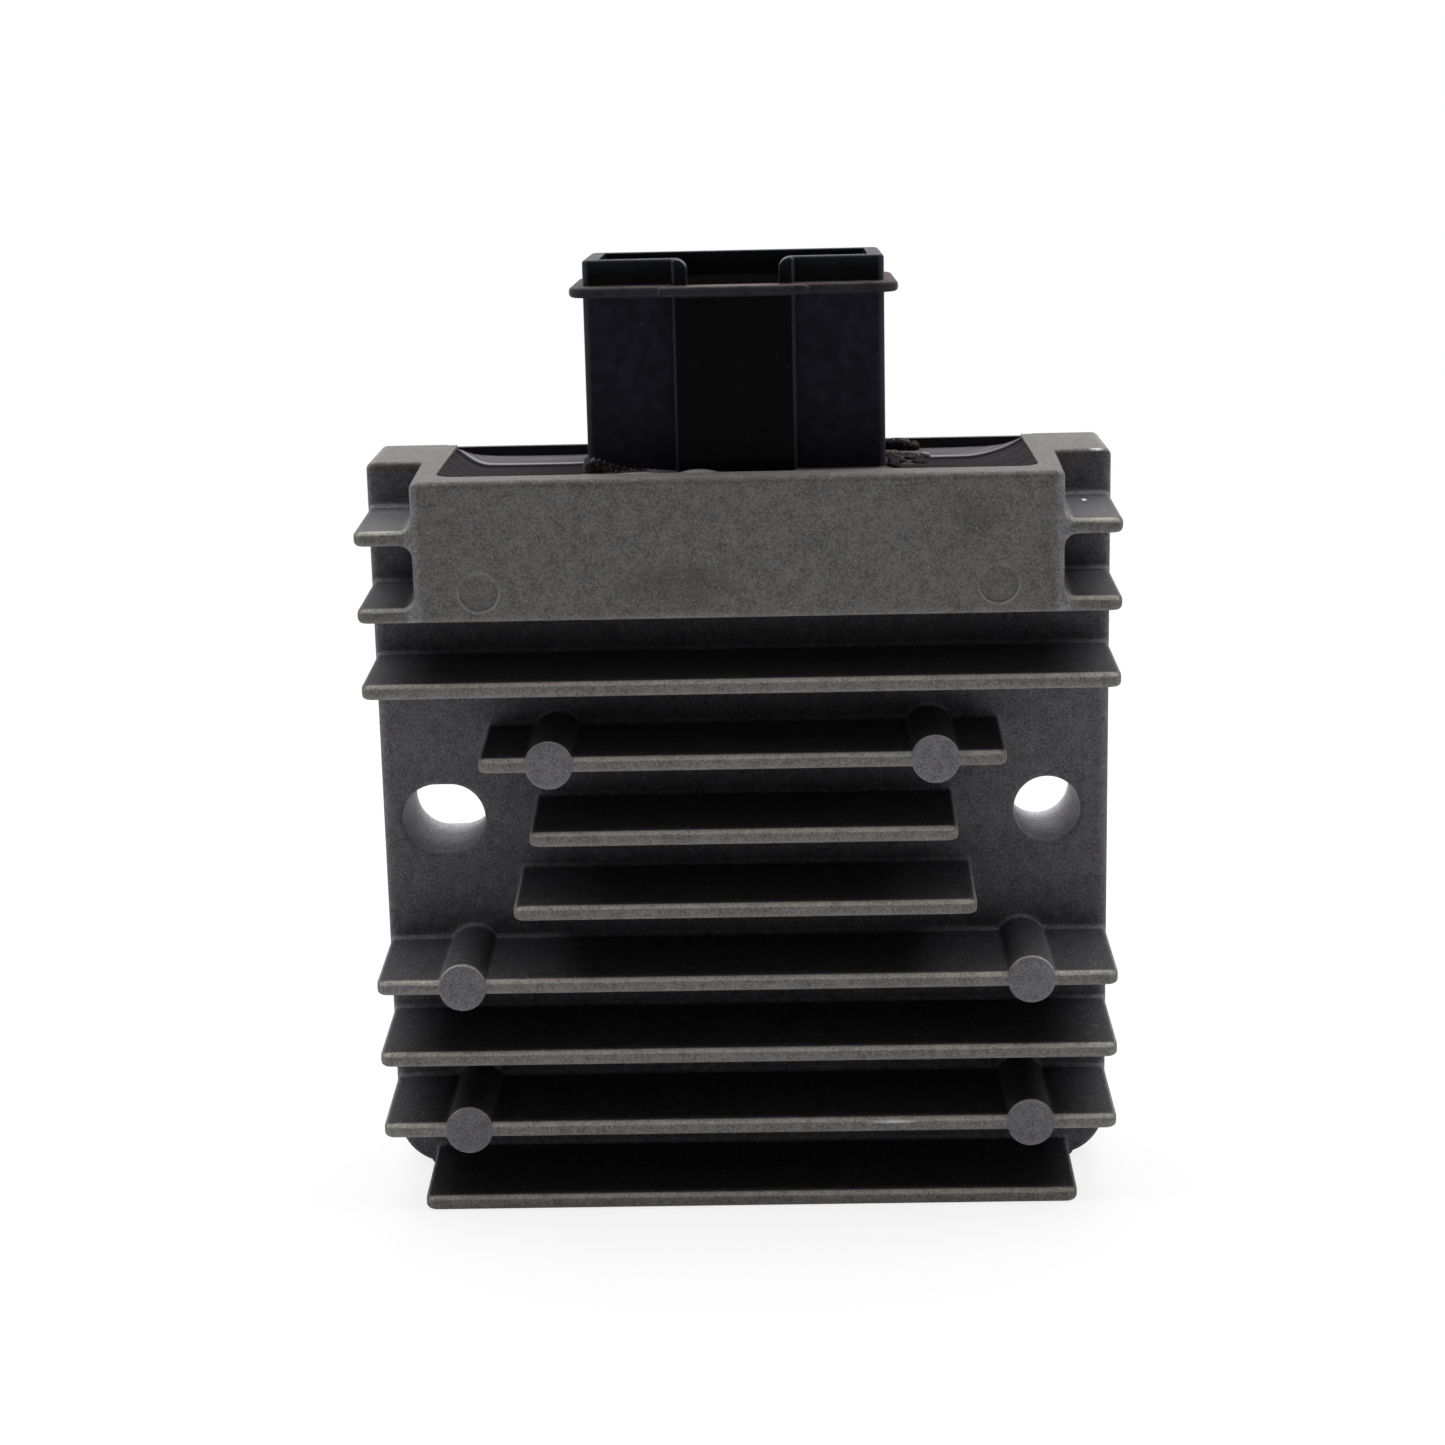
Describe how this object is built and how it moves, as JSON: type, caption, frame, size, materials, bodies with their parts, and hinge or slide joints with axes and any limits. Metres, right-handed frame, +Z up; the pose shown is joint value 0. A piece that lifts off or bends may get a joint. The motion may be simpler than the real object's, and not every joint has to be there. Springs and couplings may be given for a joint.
{
  "type": "voltage regulator rectifier",
  "caption": "Finned die-cast motorcycle voltage regulator rectifier with potted terminal box, upright plug connector with blades, a round bolt hole and a bolt slot.",
  "frame": {"origin": "centre of the flat mounting face, midway between the two bolt holes", "axes": "+Y out of the mounting face towards the frame it is bolted to, the fins point to -Y; +Z up along the connector; +X to the right as seen from the fins"},
  "size_m": [0.0768, 0.0254, 0.0975],
  "materials": {
    "cast_aluminium": "dark grey as cast, fine grain",
    "cover_sheet": "dark coated sheet, satin",
    "connector_plastic": "black moulded, semi-gloss",
    "potting_resin": "black poured resin, gloss",
    "terminal_brass": "tin plated",
    "power_substrate": "insulated metal substrate",
    "circuit_board": "glass fibre board",
    "package_plastic": "moulded package",
    "capacitor_can": "drawn can",
    "tinned_pins": "tin plated"
  },
  "bodies": {
    "root": {"heat_sink": "cast_aluminium", "back_cover": "cover_sheet", "connector_housing": "connector_plastic", "terminal_1": "terminal_brass", "terminal_2": "terminal_brass", "terminal_3": "terminal_brass", "terminal_4": "terminal_brass", "terminal_5": "terminal_brass", "terminal_6": "terminal_brass", "potting_compound": "potting_resin", "power_board": "power_substrate", "thyristor_1": "package_plastic", "thyristor_2": "package_plastic", "thyristor_3": "package_plastic", "diode_1": "package_plastic", "diode_2": "package_plastic", "diode_3": "package_plastic", "control_board": "circuit_board", "control_chip": "package_plastic", "filter_capacitor": "capacitor_can", "zener_diode": "package_plastic", "chip_resistor_1": "package_plastic", "chip_resistor_2": "package_plastic", "chip_resistor_3": "package_plastic", "link_pins": "tinned_pins"}
  },
  "joints": []
}
